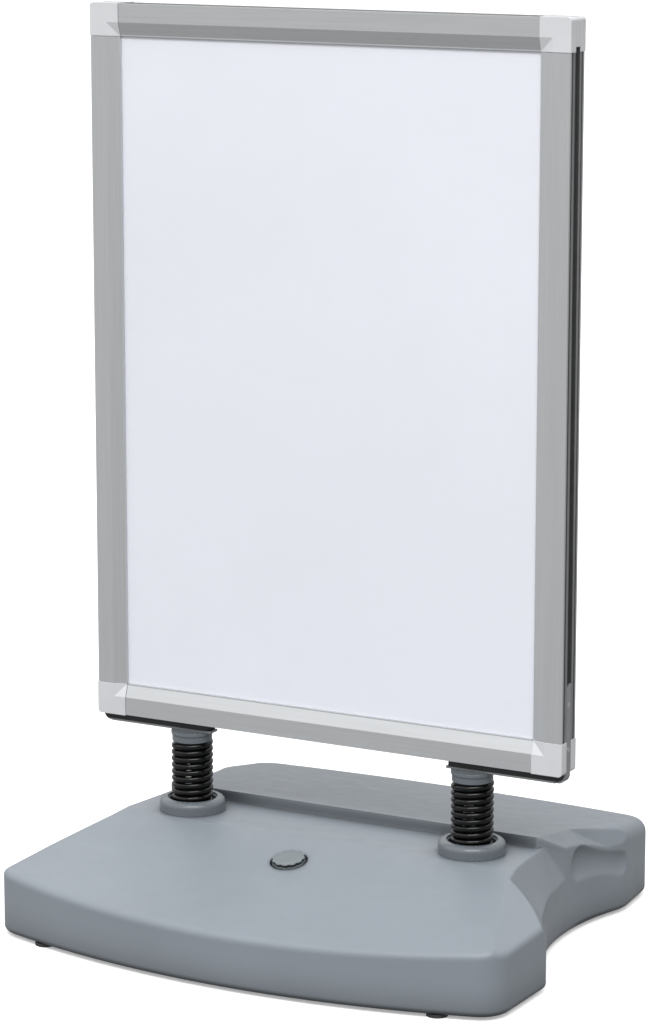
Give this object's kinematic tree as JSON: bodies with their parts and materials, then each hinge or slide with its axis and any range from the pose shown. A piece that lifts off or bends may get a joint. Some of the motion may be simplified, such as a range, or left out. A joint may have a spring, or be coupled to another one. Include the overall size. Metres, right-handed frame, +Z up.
{
  "type": "pavement sign",
  "caption": "Double-sided pavement poster sign: snap-open aluminium frame with clear covers on coil springs, standing on a water-filled moulded base with a screw filler cap.",
  "frame": {"origin": "middle of the footprint, on the ground under the rubber feet", "axes": "+X along the sign's width to its right end, +Y from the front poster to the rear one, +Z up"},
  "size_m": [0.698, 0.646, 1.1439],
  "materials": {
    "tank_plastic": "moulded mid grey plastic with a fine matt grain",
    "holder_plastic": "smooth grey moulded plastic, satin",
    "cap_plastic_grey": "smooth grey moulded plastic, satin",
    "seal_rubber": "soft black rubber",
    "feet_rubber": "black rubber, matt",
    "zinc_steel": "bright zinc plated steel",
    "spring_black": "glossy black lacquered steel wire",
    "bracket_grey": "grey painted steel, satin",
    "pad_rubber": "black rubber, matt",
    "spacer_black": "black plastic, matt",
    "strip_grey": "light grey plastic, satin",
    "tray_aluminium": "satin anodised aluminium",
    "rail_aluminium": "satin anodised aluminium with fine lines along its length",
    "corner_plastic": "light silver grey plastic, satin",
    "panel_plastic": "white plastic sheet, matt",
    "poster_paper": "blank white paper, slightly blue",
    "cover_sheet": "thin clear plastic sheet with a soft sheen",
    "leaf_steel": "bright spring steel strip"
  },
  "bodies": {
    "base": {"base_tank": "tank_plastic", "rubber_feet": "feet_rubber", "spring_socket_left": "holder_plastic", "spring_socket_right": "holder_plastic", "socket_bolts": "zinc_steel", "socket_washers": "zinc_steel", "spring_left": "spring_black", "spring_right": "spring_black"},
    "sign": {"spring_collar_left": "holder_plastic", "spring_collar_right": "holder_plastic", "collar_bolts": "zinc_steel", "bracket_screws": "zinc_steel", "frame_screws": "zinc_steel", "bracket_left": "bracket_grey", "bracket_pad_left": "pad_rubber", "spacer_left": "spacer_black", "top_corner_strip_left": "strip_grey", "bracket_right": "bracket_grey", "bracket_pad_right": "pad_rubber", "spacer_right": "spacer_black", "top_corner_strip_right": "strip_grey", "spacer_top": "spacer_black", "spacer_bottom": "spacer_black", "front_tray_top": "tray_aluminium", "front_tray_bottom": "tray_aluminium", "front_tray_left": "tray_aluminium", "front_tray_right": "tray_aluminium", "front_cap_top_left": "corner_plastic", "front_cap_top_right": "corner_plastic", "front_cap_bottom_left": "corner_plastic", "front_cap_bottom_right": "corner_plastic", "front_back_panel": "panel_plastic", "front_poster": "poster_paper", "front_clear_cover": "cover_sheet", "front_leaf_springs": "leaf_steel", "rear_tray_top": "tray_aluminium", "rear_tray_bottom": "tray_aluminium", "rear_tray_left": "tray_aluminium", "rear_tray_right": "tray_aluminium", "rear_cap_top_left": "corner_plastic", "rear_cap_top_right": "corner_plastic", "rear_cap_bottom_left": "corner_plastic", "rear_cap_bottom_right": "corner_plastic", "rear_back_panel": "panel_plastic", "rear_poster": "poster_paper", "rear_clear_cover": "cover_sheet", "rear_leaf_springs": "leaf_steel"},
    "front_rail_top_body": {"front_rail_top": "rail_aluminium"},
    "front_rail_bottom_body": {"front_rail_bottom": "rail_aluminium"},
    "front_rail_left_body": {"front_rail_left": "rail_aluminium"},
    "front_rail_right_body": {"front_rail_right": "rail_aluminium"},
    "rear_rail_top_body": {"rear_rail_top": "rail_aluminium"},
    "rear_rail_bottom_body": {"rear_rail_bottom": "rail_aluminium"},
    "rear_rail_left_body": {"rear_rail_left": "rail_aluminium"},
    "rear_rail_right_body": {"rear_rail_right": "rail_aluminium"},
    "cap_seal_body": {"cap_seal": "seal_rubber"},
    "filler_cap_body": {"filler_cap": "cap_plastic_grey"}
  },
  "joints": [
    {"name": "sign_sway", "type": "hinge", "parent": "base", "child": "sign", "pos_m": [0, -0.039, 0.17317], "axis": [1, 0, 0], "range_deg": [-25, 25], "stiffness_Nm_per_rad": 260, "deforming": ["spring_left", "spring_right"]},
    {"name": "front_top_rail_open", "type": "hinge", "parent": "sign", "child": "front_rail_top_body", "pos_m": [0, -0.0538, 1.14055], "axis": [-1, 0, 0], "range_deg": [0, 80]},
    {"name": "front_bottom_rail_open", "type": "hinge", "parent": "sign", "child": "front_rail_bottom_body", "pos_m": [0, -0.0538, 0.24475], "axis": [1, 0, 0], "range_deg": [0, 80]},
    {"name": "front_left_rail_open", "type": "hinge", "parent": "sign", "child": "front_rail_left_body", "pos_m": [-0.3244, -0.0538, 0.69265], "axis": [0, 0, -1], "range_deg": [0, 80]},
    {"name": "front_right_rail_open", "type": "hinge", "parent": "sign", "child": "front_rail_right_body", "pos_m": [0.3244, -0.0538, 0.69265], "axis": [0, 0, 1], "range_deg": [0, 80]},
    {"name": "rear_top_rail_open", "type": "hinge", "parent": "sign", "child": "rear_rail_top_body", "pos_m": [0, -0.0242, 1.14055], "axis": [1, 0, 0], "range_deg": [0, 80]},
    {"name": "rear_bottom_rail_open", "type": "hinge", "parent": "sign", "child": "rear_rail_bottom_body", "pos_m": [0, -0.0242, 0.24475], "axis": [-1, 0, 0], "range_deg": [0, 80]},
    {"name": "rear_left_rail_open", "type": "hinge", "parent": "sign", "child": "rear_rail_left_body", "pos_m": [-0.3244, -0.0242, 0.69265], "axis": [0, 0, 1], "range_deg": [0, 80]},
    {"name": "rear_right_rail_open", "type": "hinge", "parent": "sign", "child": "rear_rail_right_body", "pos_m": [0.3244, -0.0242, 0.69265], "axis": [0, 0, -1], "range_deg": [0, 80]},
    {"name": "cap_lift", "type": "slide", "parent": "base", "child": "cap_seal_body", "axis": [0, -0.2251, 0.9743], "range_m": [0, 0.0081]},
    {"name": "cap_turn", "type": "hinge", "parent": "cap_seal_body", "child": "filler_cap_body", "pos_m": [0, -0.142, 0.1126], "axis": [0, -0.2251, 0.9743], "range_deg": [0, 720]}
  ],
  "couplings": [
    {"joint": "cap_lift", "follows": "cap_turn", "m_per_rad": 0.00063662}
  ]
}
